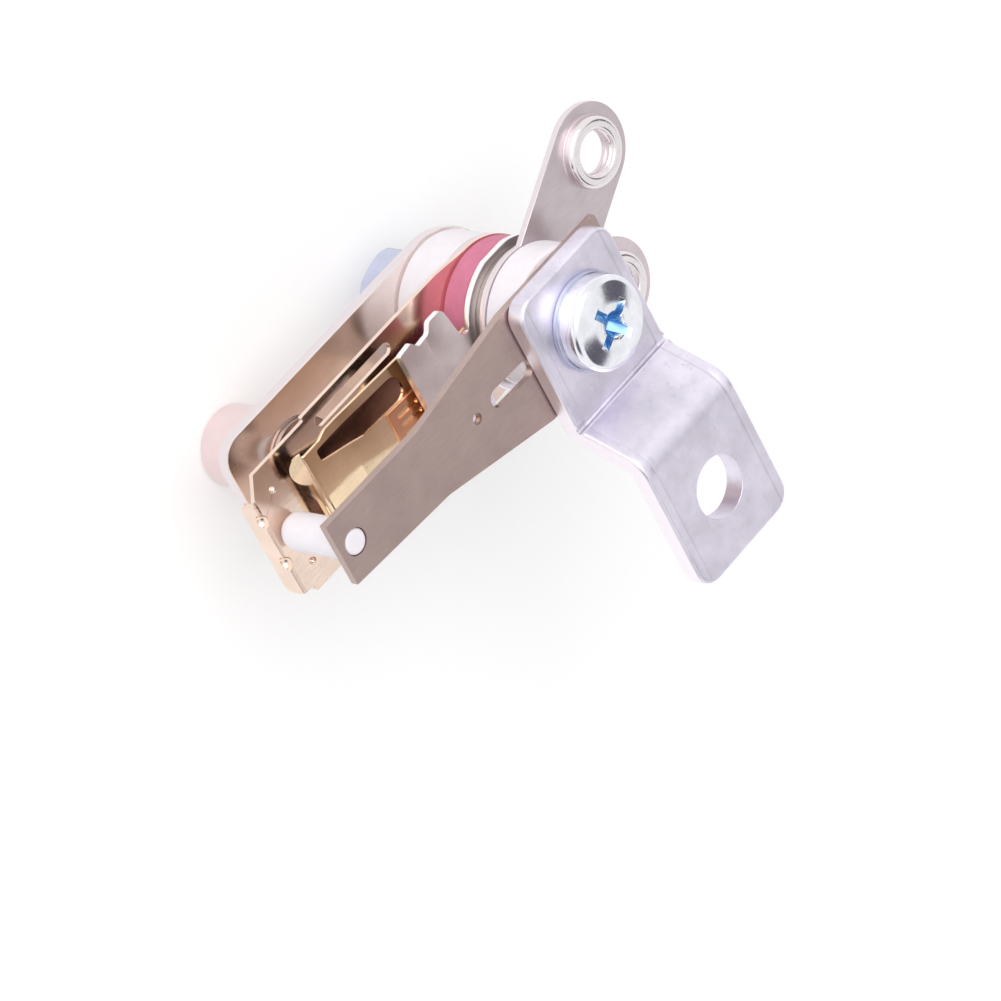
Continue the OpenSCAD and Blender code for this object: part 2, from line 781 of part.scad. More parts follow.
// Thick plate with a round head and a hole for the bush
module frame_plate() color("silver") on_stack() difference() {
    translate([0, 0, z_frame]) linear_extrude(frame_t) {
        circle(d = frame_w);
        polygon(both_sides([
            [0, frame_w / 2, 0],
            [frame_reach, frame_w / 2, frame_corner]
        ]));
    }
    through(screw_hole_d);
    translate([spindle_reach, 0, 0]) through(bush_spigot_d);
}

// Shouldered bush, riveted over on the inner side of the frame
module spindle_bush() color("rosybrown") on_stack(spindle_reach) difference() {
    rotate_extrude() polygon(rounded([
        [0, z_frame - bush_len, 0],
        [bush_d / 2 - bush_chamfer, z_frame - bush_len, 0],
        [bush_d / 2, z_frame - bush_len + bush_chamfer, 0],
        [bush_d / 2, z_frame, 0],
        [bush_spigot_d / 2, z_frame, 0],
        [bush_spigot_d / 2, z_rear_ring, 0],
        [bush_collar_d / 2, z_rear_ring, 0],
        [bush_collar_d / 2, z_rear_ring + bush_collar_h, bush_collar_edge],
        [0, z_rear_ring + bush_collar_h, 0]
    ]));
    through(bush_bore_d);
}

// Spindle with a driver slot behind and a socket for its ceramic tip
module adjusting_spindle() color("silver") on_stack(spindle_reach) difference() {
    translate([0, 0, spindle_bottom]) cylinder(d = spindle_d, h = spindle_top - spindle_bottom);
    translate([0, 0, spindle_top - tip_stem_h]) cylinder(d = tip_stem_d + 2 * thread_gap, h = tall);
    translate([0, 0, spindle_bottom])
        cube([tall, driver_slot_w, 2 * driver_slot_h], center = true);
}

// Ceramic bead that carries the spindle's push to the arm
module spindle_tip() color("ivory") on_stack(spindle_reach) rotate_extrude() polygon(rounded([
    [0, spindle_top - tip_stem_h, 0],
    [tip_stem_d / 2, spindle_top - tip_stem_h, 0],
    [tip_stem_d / 2, spindle_top, 0],
    [tip_d / 2, spindle_top, 0],
    [tip_d / 2, spindle_top + tip_h, tip_d / 2 - pin_edge],
    [0, spindle_top + tip_h, 0]
]));

mounting_foot();
clamp_screw();
head_washer();
clamp_nut();
spring_washer();
nut_washer();
bimetal_strip();
push_pin();
front_ring();
middle_ring();
rear_ring();
insulating_sleeve();
line_terminal();
load_terminal();
spacer_washer();
leaf_holder();
backing_leaf();
contact_leaf();
moving_contact();
fixed_contact();
carrier_arm();
frame_plate();
spindle_bush();
adjusting_spindle();
spindle_tip();
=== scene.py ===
"""Bimetal thermostat: finishes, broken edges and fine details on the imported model, in a white studio."""

import functools
import itertools
import json
import math

import bmesh
import bpy
from mathutils import Matrix, Vector


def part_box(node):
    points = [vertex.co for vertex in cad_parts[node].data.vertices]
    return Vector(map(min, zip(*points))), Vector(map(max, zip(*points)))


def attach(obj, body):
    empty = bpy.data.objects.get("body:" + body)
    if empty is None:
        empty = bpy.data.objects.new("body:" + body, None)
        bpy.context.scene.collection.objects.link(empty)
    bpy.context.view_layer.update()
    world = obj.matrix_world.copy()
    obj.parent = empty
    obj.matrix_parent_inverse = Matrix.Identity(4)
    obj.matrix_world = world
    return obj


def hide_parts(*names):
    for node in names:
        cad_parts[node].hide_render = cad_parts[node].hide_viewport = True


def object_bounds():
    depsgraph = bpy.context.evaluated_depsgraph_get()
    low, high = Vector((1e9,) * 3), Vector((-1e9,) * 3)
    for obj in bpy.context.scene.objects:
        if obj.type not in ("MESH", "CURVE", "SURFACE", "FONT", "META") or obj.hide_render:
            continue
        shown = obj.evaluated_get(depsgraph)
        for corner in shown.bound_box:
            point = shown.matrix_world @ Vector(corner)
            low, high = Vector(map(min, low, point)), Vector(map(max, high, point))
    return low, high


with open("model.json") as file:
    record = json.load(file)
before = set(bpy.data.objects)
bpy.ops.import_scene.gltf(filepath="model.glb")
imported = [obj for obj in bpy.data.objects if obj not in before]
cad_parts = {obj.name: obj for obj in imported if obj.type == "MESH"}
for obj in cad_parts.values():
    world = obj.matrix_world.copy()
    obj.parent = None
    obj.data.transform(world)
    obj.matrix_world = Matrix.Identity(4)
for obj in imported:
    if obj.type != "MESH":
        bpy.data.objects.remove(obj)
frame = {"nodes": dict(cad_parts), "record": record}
cad_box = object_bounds()

mounts = {m["name"]: m for m in frame["record"]["mounts"]}

MM = 0.001
STACK = "stack"
SPINDLE = "spindle"

# Camera, fitted to the photograph: place in millimetres, axes in the part's frame
FRAME_PIXELS = 1001
FOCAL_PIXELS = 6000
SENSOR_MM = 36
CAMERA_AT = Vector((260.14, -285.03, 361.23)) * MM
CAMERA_RIGHT = Vector((-0.5928, 0.4073, 0.6948))
CAMERA_UP = Vector((-0.6545, -0.7463, -0.1209))
CLIP_NEAR = 0.01
CLIP_FAR = 20

# Threads
SCREW_PITCH = 0.8 * MM
SCREW_THREAD_DEPTH = 0.43 * MM
LUG_PITCH = 0.7 * MM
LUG_THREAD_DEPTH = 0.17 * MM
THREAD_STEPS = 12
THREAD_SIDES = 72
LEAST_STEPS = 2
CREST_SHARE = 0.12
THREAD_LEAD = 0.35 * MM
THREAD_SUNK = 0.03 * MM

# Studio: each flag has a direction, and the cosines from it at which the flag starts and is whole
SEEN_RAYS = ("Is Camera Ray", "Is Glossy Ray", "Is Transmission Ray")
WORLD_LIGHT = 0.92
FLAGS = (
    ((-0.70, 0.27, 0.66), 0.962, 0.985),
    ((0.85, 0.27, 0.45), 0.92, 0.985),
    ((-0.12, 0.63, 0.77), 0.962, 0.985),
)
FLAG_TONE = (0.12, 0.11, 0.14, 1.0)
WHITE = (1.0, 1.0, 1.0, 1.0)
PAPER = (0.93, 0.93, 0.93, 1.0)
PAPER_ROUGHNESS = 0.9
PAPER_GLOSS = 0.1
PAPER_LIFT = 0.17
FLOOR_SIZE = 4.0
KEY_TOWARDS = (0.30, -0.66, 0.69)
KEY_DISTANCE = 0.80
KEY_SIZE = 1.00
KEY_POWER = 3.2

# Mesh clean-up
SHARP_ANGLE = math.radians(28)
FLAT_ANGLE = math.radians(0.4)
SEAM_ANGLE = math.radians(1.5)
CHAIN_ANGLE = math.radians(50)
WELD = 0.002 * MM

# Edge breaks: the least width, and what a break may take of the room beside it, shared or its own
BEVEL_WEIGHT = "bevel_weight_edge"
LEAST_BREAK = 0.012 * MM
SHARED_ROOM = 0.42
OWN_ROOM = 0.8
LOOKS_ACROSS = (0.06, 0.28, 0.5, 0.72, 0.94)
SCREW_EDGE = 0.03 * MM
SCREW_SEGMENTS = 2

# Foot: edge breaks, the groove that stays plain, and the pressed line along each side
FOOT_EDGE = 0.36 * MM
FOOT_FINE_EDGE = 0.07 * MM
FOOT_SEGMENTS = 4
FOOT_CLEAR = 3.3 * MM
UPRIGHT = 0.05
LOOKS_UP = 0.3
GROOVE_AT = Vector((-11.1, -5.9)) * MM
GROOVE_REACH = 0.42 * MM
GROOVE_CLEAR = 0.7 * MM
PRESSED_IN = 1.25 * MM
PRESSED_W = 0.16 * MM
PRESSED_DEPTH = 0.05 * MM

# Places on the finishes, in millimetres: raised metal, which gets a painted highlight or painted shade, the
# foot's margin and cut sides, the screw's recess
RAISED_FROM = 0.05
RAISED_TO = 0.45
RAISED_SHADE_FADE = 0.05
MARGIN = 1.15
CREASE_W = 0.16
CUT_SIDE_FROM = 0.8
CUT_SIDE_TO = 0.3
RECESS_REACH = 2.75
RECESS_FADE = 0.2
RECESS_TOP = (0.15, 0.5)
RECESS_END = (1.9, 2.1)

# Range that holds most of a noise
NOISE_LOW = 0.3
NOISE_HIGH = 0.7


class Finish:
    """A material's node tree, with short calls for the nodes that the finishes use.

    Lengths are in millimetres.
    """

    def __init__(self, name):
        self.material = bpy.data.materials.new(name)
        self.material.use_nodes = True
        self.tree = self.material.node_tree
        self.tree.nodes.clear()
        out = self.tree.nodes.new("ShaderNodeOutputMaterial")
        self.shader = self.tree.nodes.new("ShaderNodeBsdfPrincipled")
        self.tree.links.new(self.shader.outputs["BSDF"], out.inputs["Surface"])
        self.place = self.tree.nodes.new("ShaderNodeTexCoord").outputs["Object"]
        self.normal = None

    def put(self, socket, value):
        """Sets a socket to a number or colour, or links another socket to it."""
        if isinstance(value, bpy.types.NodeSocket):
            self.tree.links.new(value, socket)
        else:
            socket.default_value = value

    def stretched(self, scale):
        """Coordinates in millimetres, stretched by scale along each axis."""
        node = self.tree.nodes.new("ShaderNodeMapping")
        node.inputs["Scale"].default_value = [s / MM for s in scale]
        self.tree.links.new(self.place, node.inputs["Vector"])
        return node.outputs["Vector"]

    def noise(self, waves, detail=3, roughness=0.55):
        """Noise from 0 to 1, with its waves per millimetre as one number or as one for each axis."""
        node = self.tree.nodes.new("ShaderNodeTexNoise")
        node.inputs["Scale"].default_value = 1
        node.inputs["Detail"].default_value = detail
        node.inputs["Roughness"].default_value = roughness
        scale = waves if isinstance(waves, tuple) else (waves, waves, waves)
        self.tree.links.new(self.stretched(scale), node.inputs["Vector"])
        return node.outputs["Fac"]

    def math(self, operation, a, b=0.0):
        node = self.tree.nodes.new("ShaderNodeMath")
        node.operation = operation
        self.put(node.inputs[0], a)
        self.put(node.inputs[1], b)
        return node.outputs[0]

    def times(self, a, b):
        return self.math("MULTIPLY", a, b)

    def plus(self, a, b):
        return self.math("ADD", a, b)

    def size_of(self, value):
        return self.math("ABSOLUTE", value)

    def spread(self, value, low, high, to_low=0.0, to_high=1.0):
        """Takes value from the range low to high into another range, held at its ends."""
        node = self.tree.nodes.new("ShaderNodeMapRange")
        node.interpolation_type = "SMOOTHSTEP"
        limits = {"From Min": low, "From Max": high, "To Min": to_low, "To Max": to_high}
        for name, number in limits.items():
            node.inputs[name].default_value = number
        self.tree.links.new(value, node.inputs["Value"])
        return node.outputs["Result"]

    def middle(self, noise, to_low=0.0, to_high=1.0):
        """Takes the middle of a noise, where most of it lies, into another range."""
        return self.spread(noise, NOISE_LOW, NOISE_HIGH, to_low, to_high)

    def mix(self, share, a, b):
        """Colour that goes from a to b with share."""
        node = self.tree.nodes.new("ShaderNodeMix")
        node.data_type = "RGBA"
        self.put(node.inputs["Factor"], share)
        self.put(node.inputs["A"], a)
        self.put(node.inputs["B"], b)
        return node.outputs["Result"]

    def axis(self, name):
        """One coordinate of the surface, in millimetres."""
        node = self.tree.nodes.new("ShaderNodeSeparateXYZ")
        self.tree.links.new(self.stretched((1, 1, 1)), node.inputs["Vector"])
        return node.outputs[name]

    def facing(self, name):
        """One coordinate of the surface's own direction, from -1 to 1."""
        node = self.tree.nodes.new("ShaderNodeSeparateXYZ")
        direction = self.tree.nodes.new("ShaderNodeNewGeometry").outputs["Normal"]
        self.tree.links.new(direction, node.inputs["Vector"])
        return node.outputs[name]

    def bump(self, height, depth):
        """Adds relief: height from 0 to 1 is depth millimetres."""
        node = self.tree.nodes.new("ShaderNodeBump")
        node.inputs["Strength"].default_value = 1.0
        node.inputs["Distance"].default_value = depth * MM
        self.tree.links.new(height, node.inputs["Height"])
        if self.normal:
            self.tree.links.new(self.normal, node.inputs["Normal"])
        self.normal = node.outputs["Normal"]

    def done(self, **sockets):
        """Sets the shader's sockets, named with _ for each space, and gives the material."""
        for name, value in sockets.items():
            title = name.replace("_", " ").title().replace("Ior", "IOR")
            self.put(self.shader.inputs[title], value)
        if self.normal:
            self.tree.links.new(self.normal, self.shader.inputs["Normal"])
        return self.material


def rgb(red, green, blue):
    return (red, green, blue, 1.0)


def shade(colour, factor):
    return rgb(*(min(1.0, c * factor) for c in colour[:3]))


def sheet_metal(name, tint, gloss, grain=(0.5, 14, 14), grain_depth=0.0012, wave_depth=0.02, pits=0.10,
                spread=0.06, painted_underside=None, painted_side_light=None, raised_highlight=None, level=0.0):
    """Rolled sheet: grain lines, soft waves, a cloudy tint and fine pits.

    The lower side can have a painted light or shade tint of its own, side faces and cut edges a painted
    highlight or shade, and what stands higher than level is smoothed by burnishing and can get a painted
    highlight colour.
    """
    f = Finish(name)
    cloud = f.noise(0.28, detail=4)
    lines = f.noise(grain, detail=4, roughness=0.6)
    specks = f.spread(f.noise(5, detail=2), 0.62, 0.74)
    pitted = f.times(specks, pits)
    colour = f.mix(f.middle(cloud), shade(tint, 0.93), shade(tint, 1.05))
    colour = f.mix(f.spread(lines, 0.35, 0.75, 0, 0.35), colour, shade(tint, 0.88))
    colour = f.mix(pitted, colour, shade(tint, 0.45))
    rough = f.plus(f.spread(lines, 0.25, 0.75, gloss - spread, gloss + spread), pitted)
    # Painted light or shade on the lower side: faces that look down get a tint of their own.
    if painted_underside:
        downward = f.spread(f.facing("Z"), -0.6, -0.3, 1, 0)
        colour = f.mix(downward, colour, painted_underside)
    # Painted highlight or shade on side faces and cut edges, for how light falls on them.
    if painted_side_light:
        sideways = f.spread(f.size_of(f.facing("Z")), 0.35, 0.85, 1, 0)
        colour = f.mix(sideways, colour, painted_side_light)
    # Raised metal gets a painted highlight colour and is smoothed by burnishing.
    if raised_highlight:
        raised = f.spread(f.axis("Z"), level + RAISED_FROM, level + RAISED_TO)
        colour = f.mix(raised, colour, raised_highlight)
        rough = f.math("SUBTRACT", rough, f.times(raised, gloss / 2))
    f.bump(f.noise(0.11, detail=1), wave_depth)
    f.bump(lines, grain_depth)
    f.bump(specks, -0.003)
    return f.done(base_color=colour, metallic=1.0, roughness=rough)


def plating(name, tint, gloss, haze=0.05, cloudy=1.0, painted_shade_above=None, level=0.0):
    """Bright plating on turned or pressed steel: thin haze and very fine scratches.

    What stands higher than level can get a painted shade colour.
    """
    f = Finish(name)
    cloud = f.noise(0.6, detail=3)
    scratch = f.noise((16, 16, 2.5), detail=3, roughness=0.7)
    colour = f.mix(f.middle(cloud), shade(tint, 1 - 0.06 * cloudy), shade(tint, 1 + 0.04 * cloudy))
    rough = f.middle(f.plus(f.times(cloud, 0.5), f.times(scratch, 0.5)), gloss, gloss + haze)
    # Painted shade on what stands higher than level.
    if painted_shade_above:
        raised = f.spread(f.axis("Z"), level - RAISED_SHADE_FADE, level + RAISED_SHADE_FADE)
        colour = f.mix(raised, colour, painted_shade_above)
    f.bump(f.noise(0.5, detail=1), 0.006)
    f.bump(scratch, 0.0006)
    return f.done(base_color=colour, metallic=1.0, roughness=rough)


def ceramic(name, tint, low, speck):
    """Pressed and fired ceramic: matt, faintly mottled, with a fine tooth and a few specks."""
    f = Finish(name)
    mottle = f.noise(0.7, detail=4, roughness=0.6)
    tooth = f.noise(11, detail=3, roughness=0.65)
    dots = f.spread(f.noise(3.2, detail=1), 0.74, 0.79)
    colour = f.mix(f.middle(mottle), low, tint)
    colour = f.mix(f.times(dots, 0.35), colour, speck)
    f.bump(tooth, 0.010)
    f.bump(mottle, 0.02)
    return f.done(base_color=colour, roughness=f.middle(tooth, 0.5, 0.68), specular_ior_level=0.4)


def foot_metal(name, tint, side_highlight_tint, slope_scuff_reflection_tint, gloss):
    """Stamped aluminium: grain, scuffs, a pressed margin along the sides with painted shade, painted light
    on slopes and cut sides.
    """
    f = Finish(name)
    low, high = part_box("mounting_foot")
    half = (high.x - low.x) / 2 / MM
    across = f.size_of(f.axis("X"))
    side = f.math("SUBTRACT", half - MARGIN, across)
    pressed = f.spread(side, -CREASE_W, CREASE_W)
    crease_shade = f.spread(f.size_of(side), 0.0, CREASE_W, 1, 0)
    cloud = f.noise(0.22, detail=5, roughness=0.6)
    lines = f.noise((9, 0.35, 9), detail=4, roughness=0.65)
    scuff = f.spread(f.noise((1.1, 0.5, 1.1), detail=6, roughness=0.75), 0.52, 0.72)
    specks = f.spread(f.noise(4, detail=2), 0.66, 0.76)
    slope = f.spread(f.size_of(f.facing("Y")), 0.1, 0.5)
    cut_edge = f.spread(f.size_of(f.facing("Z")), 0.15, 0.6, 1, 0)
    cut_side = f.spread(across, half - CUT_SIDE_FROM, half - CUT_SIDE_TO)
    colour = f.mix(f.middle(cloud), shade(tint, 0.89), shade(tint, 1.10))
    colour = f.mix(f.times(scuff, 0.30), colour, shade(tint, 0.68))
    # Bluish tint on the slopes through the scuff noise: partly scuffs, partly a painted reflection.
    colour = f.mix(f.times(f.times(slope, scuff), 0.35), colour, slope_scuff_reflection_tint)
    # Painted shade along the pressed line.
    colour = f.mix(f.times(crease_shade, 0.25), colour, shade(tint, 0.6))
    colour = f.mix(f.times(specks, 0.3), colour, shade(tint, 0.5))
    # Painted highlight on the side faces near the long edges.
    colour = f.mix(f.times(cut_edge, cut_side), colour, side_highlight_tint)
    rough = f.plus(f.spread(lines, 0.25, 0.75, gloss - 0.05, gloss + 0.07), f.times(scuff, 0.1))
    f.bump(cloud, 0.05)
    f.bump(pressed, 0.03)
    f.bump(lines, 0.0016)
    f.bump(specks, -0.004)
    return f.done(base_color=colour, metallic=1.0, roughness=rough)


def screw_metal(name, tint, recess_reflection_tint, gloss):
    """Zinc plate with a painted blue reflection and shade inside the screw's recess."""
    f = Finish(name)
    low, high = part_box("clamp_screw")
    middle = (low + high) / 2 / MM
    across = f.math("POWER", f.math("SUBTRACT", f.axis("X"), middle.x), 2)
    along = f.math("POWER", f.math("SUBTRACT", f.axis("Y"), middle.y), 2)
    radius = f.math("SQRT", f.plus(across, along))
    depth = f.math("SUBTRACT", high.z / MM, f.axis("Z"))
    deep = f.times(f.spread(depth, *RECESS_TOP), f.spread(depth, *RECESS_END, 1, 0))
    inside = f.times(f.spread(radius, RECESS_REACH - RECESS_FADE, RECESS_REACH, 1, 0), deep)
    cloud = f.noise(0.7, detail=3)
    turned = f.noise((7, 7, 1.5), detail=3, roughness=0.6)
    colour = f.mix(f.middle(cloud), shade(tint, 0.93), shade(tint, 1.05))
    # Painted blue reflection and shade inside the recess.
    colour = f.mix(f.times(inside, 0.9), colour, recess_reflection_tint)
    rough = f.plus(f.middle(turned, gloss, gloss + 0.08), f.times(inside, 0.15))
    f.bump(turned, 0.0012)
    return f.done(base_color=colour, metallic=1.0, roughness=rough)


def finish_mesh(piece, bm):
    """Writes the mesh, smooth over curves and crisp at real edges."""
    bmesh.ops.recalc_face_normals(bm, faces=bm.faces)
    bm.to_mesh(piece.data)
    bm.free()
    for face in piece.data.polygons:
        face.use_smooth = True
    piece.data.set_sharp_from_angle(angle=SHARP_ANGLE)


def new_piece(name, material, body):
    piece = bpy.data.objects.new(name, bpy.data.meshes.new(name))
    bpy.context.scene.collection.objects.link(piece)
    piece.data.materials.append(material)
    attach(piece, body)
    return piece


def stand_for(node, material, bm, body=STACK, weigh=True):
    """Makes the mesh a piece that stands for a node."""
    piece = new_piece(node + "_finish", material, body)
    finish_mesh(piece, bm)
    if weigh:
        normals = piece.modifiers.new("weighted normals", "WEIGHTED_NORMAL")
        normals.keep_sharp = True
    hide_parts(node)


def copy_of(node):
    bm = bmesh.new()
    bm.from_mesh(frame["nodes"][node].data)
    return bm


def cut_through(bm, place, direction, clear_inner=False):
    """Cuts the whole mesh along a plane, and gives what the cut made."""
    everything = bm.verts[:] + bm.edges[:] + bm.faces[:]
    return bmesh.ops.bisect_plane(bm, geom=everything, plane_co=place, plane_no=direction,
                                  clear_inner=clear_inner)


def clear_flats(bm):
    """Welds the points and takes the inner lines out of flat faces."""
    bmesh.ops.remove_doubles(bm, verts=bm.verts, dist=WELD)
    bmesh.ops.dissolve_limit(bm, angle_limit=FLAT_ANGLE, verts=bm.verts, edges=bm.edges,
                             use_dissolve_boundaries=False)
    bm.normal_update()


def sharp_edges(bm):
    return {e for e in bm.edges if len(e.link_faces) == 2 and e.calc_face_angle() > SHARP_ANGLE}


def room_beside(edge, sharp):
    """Widest edge break that the faces on both sides of an edge leave room for."""
    room = math.inf
    for loop in edge.link_loops:
        face = loop.face
        start, end = loop.vert.co, loop.link_loop_next.vert.co
        along = (end - start).normalized()
        inward = face.normal.cross(along)
        for share in LOOKS_ACROSS:
            spot = start.lerp(end, share)
            for other in face.edges:
                if other is edge or other.calc_face_angle() < SEAM_ANGLE:
                    continue
                sides = [v.co - spot for v in other.verts]
                before, after = (s.dot(along) for s in sides)
                if (before > 0) == (after > 0):
                    continue
                near, far = (s.dot(inward) for s in sides)
                across = near + (far - near) * before / (before - after)
                if across > WELD:
                    room = min(room, across * (SHARED_ROOM if other in sharp else OWN_ROOM))
        before, after = loop.link_loop_prev, loop.link_loop_next
        turns = 0.0
        for edge_beside, first, second in ((before.edge, start - before.vert.co, along),
                                           (after.edge, along, after.link_loop_next.vert.co - end)):
            if edge_beside in sharp:
                turn = math.copysign(first.angle(second), first.cross(second).dot(face.normal))
                turns += math.tan(turn / 2)
        if turns > 0:
            room = min(room, OWN_ROOM * edge.calc_length() / turns)
    return room


def chains_of(edges):
    """Sets of edges that run on into each other without a corner."""
    chain = {edge: {edge} for edge in edges}
    for vert in {v for e in edges for v in e.verts}:
        here = [e for e in vert.link_edges if e in chain]
        for first, second in itertools.combinations(here, 2):
            ways = [e.other_vert(vert).co - vert.co for e in (first, second)]
            if math.pi - ways[0].angle(ways[1]) < CHAIN_ANGLE and chain[first] is not chain[second]:
                chain[first] |= chain[second]
                for edge in chain[second]:
                    chain[edge] = chain[first]
    return list({id(c): c for c in chain.values()}.values())


def round_edges(bm, widths, segments):
    """Rounds edges, each as wide as it is given and as the faces along its chain allow."""
    widest = max(widths.values())
    bm.edges.index_update()
    shares = {}
    for chain in chains_of(widths):
        width = min(min(widths[edge], room_beside(edge, widths)) for edge in chain)
        if width > LEAST_BREAK:
            shares.update((edge.index, width / widest) for edge in chain)
    weight = bm.edges.layers.float.new(BEVEL_WEIGHT)
    bm.edges.ensure_lookup_table()
    for index, share in shares.items():
        bm.edges[index][weight] = share
    draft = bpy.data.objects.new("draft", bpy.data.meshes.new("draft"))
    bm.to_mesh(draft.data)
    bpy.context.scene.collection.objects.link(draft)
    bevel = draft.modifiers.new("edges", "BEVEL")
    bevel.limit_method = "WEIGHT"
    bevel.offset_type = "OFFSET"
    bevel.width = widest
    bevel.segments = segments
    bevel.use_clamp_overlap = False
    rounded = draft.evaluated_get(bpy.context.evaluated_depsgraph_get())
    bm.clear()
    bm.from_mesh(rounded.data)
    bpy.data.meshes.remove(draft.data)
    bm.edges.layers.float.remove(bm.edges.layers.float[BEVEL_WEIGHT])
    bm.normal_update()


def break_edges(bm, width, segments):
    """Rounds every sharp edge, with the flat faces cleared of their inner lines first."""
    clear_flats(bm)
    round_edges(bm, dict.fromkeys(sharp_edges(bm), width), segments)


def dress(node, material, edge, segments=2, body=STACK):
    """A node's own shape with its edges rounded, up to edge millimetres wide."""
    bm = copy_of(node)
    break_edges(bm, edge * MM, segments)
    stand_for(node, material, bm, body)


def dress_foot(material):
    """The foot with broad, rolled edges along its outline and a pressed line inside each long side."""
    node = "mounting_foot"
    pressed_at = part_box(node)[1].x - PRESSED_IN
    screw = sum(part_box("clamp_screw"), Vector()) / 2
    holes = [Vector(mounts["foot_hole"]["pos_m"]).xy, screw.xy]

    def on_outline(face):
        middle = face.calc_center_median().xy
        return abs(face.normal.z) < UPRIGHT and all((middle - hole).length > FOOT_CLEAR for hole in holes)

    def in_groove(edge):
        return any((v.co.yz - GROOVE_AT).length < GROOVE_REACH for v in edge.verts)

    bm = copy_of(node)
    clear_flats(bm)
    for shift in (-GROOVE_CLEAR, GROOVE_CLEAR):
        cut_through(bm, (0, GROOVE_AT.x + shift, 0), (0, 1, 0))
    bm.normal_update()
    widths = {}
    for edge in sharp_edges(bm):
        rim = sum(on_outline(face) for face in edge.link_faces) == 1
        if not in_groove(edge):
            widths[edge] = FOOT_EDGE if rim else FOOT_FINE_EDGE
    round_edges(bm, widths, FOOT_SEGMENTS)
    for side in (-1, 1):
        for shift in (-PRESSED_W, 0, PRESSED_W):
            cut_through(bm, (side * (pressed_at + shift), 0, 0), (1, 0, 0))
    bm.normal_update()
    for vert in bm.verts:
        if abs(abs(vert.co.x) - pressed_at) < WELD and vert.normal.z > LOOKS_UP:
            vert.co -= vert.normal * PRESSED_DEPTH
    stand_for(node, material, bm)


def thread_radius(z, angle, pitch, crest, depth):
    """Radius of a screw thread at a height and an angle."""
    phase = (z / pitch - angle / math.tau) % 1.0
    slope = (abs(2 * phase - 1) - CREST_SHARE) / (1 - 2 * CREST_SHARE)
    return crest - depth * max(0.0, min(1.0, slope))


def ring_of(bm, centre, z, radius_at):
    """One closed row of points round an upright axis."""
    row = []
    for i in range(THREAD_SIDES):
        angle = math.tau * i / THREAD_SIDES
        radius = radius_at(z, angle)
        x = centre.x + radius * math.cos(angle)
        y = centre.y + radius * math.sin(angle)
        row.append(bm.verts.new((x, y, z)))
    return row


def skin(bm, rows):
    """Faces between the rows of points, in order."""
    for lower, upper in zip(rows, rows[1:]):
        for i in range(THREAD_SIDES):
            j = (i + 1) % THREAD_SIDES
            bm.faces.new((lower[i], lower[j], upper[j], upper[i]))


def levels(low, high, pitch):
    """Heights of a thread's rows of points."""
    count = max(LEAST_STEPS, round((high - low) / pitch * THREAD_STEPS))
    return [low + (high - low) * i / count for i in range(count + 1)]


def dress_screw(material):
    """The clamp screw with its edges rounded, and a real thread on the end that comes out of the nut."""
    node = "clamp_screw"
    low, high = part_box(node)
    nut_low, nut_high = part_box("clamp_nut")
    cut = (nut_low.z + nut_high.z) / 2
    centre = (low + high) / 2
    bm = copy_of(node)
    break_edges(bm, SCREW_EDGE, SCREW_SEGMENTS)
    made = cut_through(bm, (0, 0, cut), (0, 0, 1), clear_inner=True)["geom_cut"]
    bmesh.ops.holes_fill(bm, edges=[e for e in made if isinstance(e, bmesh.types.BMEdge)])
    shank = [v.co for v in bm.verts if v.co.z < nut_high.z]
    crest = max(math.hypot(co.x - centre.x, co.y - centre.y) for co in shank)

    def radius_at(z, angle):
        turn = thread_radius(z, angle, SCREW_PITCH, crest, SCREW_THREAD_DEPTH)
        return min(turn, crest - max(0.0, THREAD_LEAD - (z - low.z)))

    rows = [ring_of(bm, centre, z, radius_at) for z in levels(low.z, cut, SCREW_PITCH)]
    skin(bm, rows)
    bm.faces.new(rows[0][::-1])
    bm.faces.new(rows[-1])
    stand_for(node, material, bm, weigh=False)


def lug_thread(name, mount, material):
    """Thread inside a lug's collar: a thin ring whose inner face carries the turns."""
    spot = Vector(mount["pos_m"])
    wall = mount["dims"]["r_mm"] * MM
    half = mount["dims"]["length_mm"] / 2 * MM
    floor, roof = spot.z - half, spot.z + half
    first, last = floor + THREAD_SUNK, roof - THREAD_SUNK

    def turns_at(z, angle):
        crest = thread_radius(-z, angle, LUG_PITCH, 0.0, LUG_THREAD_DEPTH)
        near_end = max(0.0, THREAD_LEAD - min(z - floor, roof - z))
        return wall - max(0.0, LUG_THREAD_DEPTH + crest - near_end)

    def back_at(z, angle):
        return wall + THREAD_SUNK

    bm = bmesh.new()
    inner = [ring_of(bm, spot, z, turns_at) for z in levels(first, last, LUG_PITCH)]
    outer = [ring_of(bm, spot, z, back_at) for z in (last, first)]
    skin(bm, inner + outer + inner[:1])
    piece = new_piece(name, material, STACK)
    finish_mesh(piece, bm)


# Heights where a finish changes, in millimetres: above the two lugs' plates, where a painted highlight
# starts, and above the frame plate, where the bush's painted shade starts
ARM_T = 0.5
LINE_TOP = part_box("front_ring")[0].z / MM
LOAD_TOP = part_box("middle_ring")[0].z / MM - ARM_T
FRAME_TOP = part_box("frame_plate")[1].z / MM

LUG_TINT = rgb(0.68, 0.60, 0.625)
# The load lug's tint is a lighter copy of the line lug's: painted light for a lug that lies in shade.
LOAD_LUG_PAINTED_LIGHT = 1.16
# Satin lugs: a painted highlight on their side faces and on their raised collars.
SATIN = {
    "grain": (0.8, 5, 5), "grain_depth": 0.003, "pits": 0.12,
    "painted_side_light": rgb(0.78, 0.71, 0.73), "raised_highlight": rgb(0.84, 0.79, 0.80),
}
POLISHED = {"grain": (0.3, 4, 4), "grain_depth": 0.002, "pits": 0.05, "spread": 0.03}

